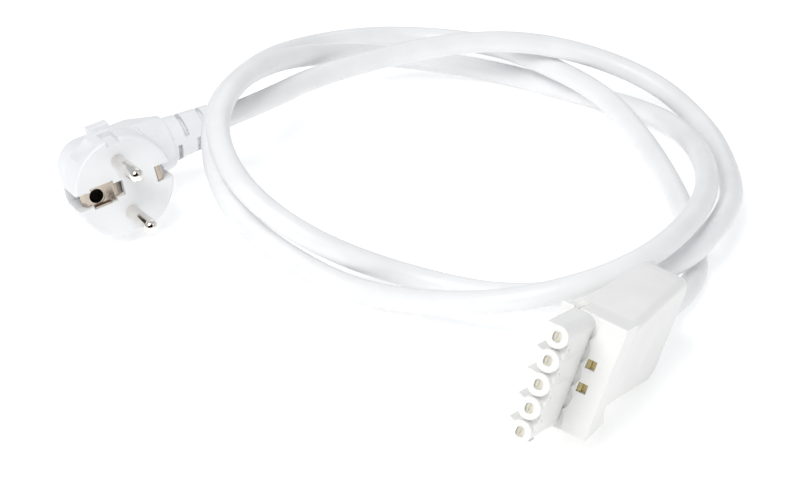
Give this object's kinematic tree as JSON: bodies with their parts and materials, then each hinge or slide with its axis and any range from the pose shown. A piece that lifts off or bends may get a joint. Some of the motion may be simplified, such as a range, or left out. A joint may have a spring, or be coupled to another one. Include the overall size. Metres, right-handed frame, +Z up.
{
  "type": "power cable with plug",
  "caption": "Mains lead: angled earthed plug with slotted bend relief, round white cable in a loose double loop, small 5-pole lighting connector.",
  "frame": {"origin": "on the floor, below the middle of the box round the plug and the connector", "axes": "+Z up from the floor the lead lies on; +X from the plug's side to the connector's side; +Y away from the viewer of the picture"},
  "size_m": [0.2409, 0.2902, 0.0524],
  "materials": {
    "plug_plastic": "satin moulded PVC, white",
    "carrier_plastic": "hard moulded plastic, white",
    "nickel": "bright nickel plate",
    "strip_metal": "nickel-plated spring strip",
    "cable_sheath": "satin PVC, white",
    "connector_plastic": "satin polyamide, warm white",
    "contact_brass": "plain brass",
    "screw_steel": "zinc-plated steel",
    "core_brown": "PVC insulation",
    "core_blue": "PVC insulation",
    "core_earth": "PVC insulation, green and yellow"
  },
  "bodies": {
    "root": {"plug_body": "plug_plastic", "pin_bridge": "carrier_plastic", "live_pin": "nickel", "neutral_pin": "nickel", "earth_strip": "strip_metal", "earth_socket": "strip_metal", "plug_live_core": "core_brown", "plug_neutral_core": "core_blue", "plug_earth_core": "core_earth", "cable": "cable_sheath", "contact_block": "connector_plastic", "contact_1": "contact_brass", "contact_2": "contact_brass", "contact_3": "contact_brass", "contact_4": "contact_brass", "contact_5": "contact_brass", "connector_cover": "connector_plastic", "connector_base": "connector_plastic", "cord_clamp": "connector_plastic", "clamp_screws": "screw_steel", "live_core": "core_brown", "neutral_core": "core_blue", "earth_core": "core_earth"}
  },
  "joints": []
}
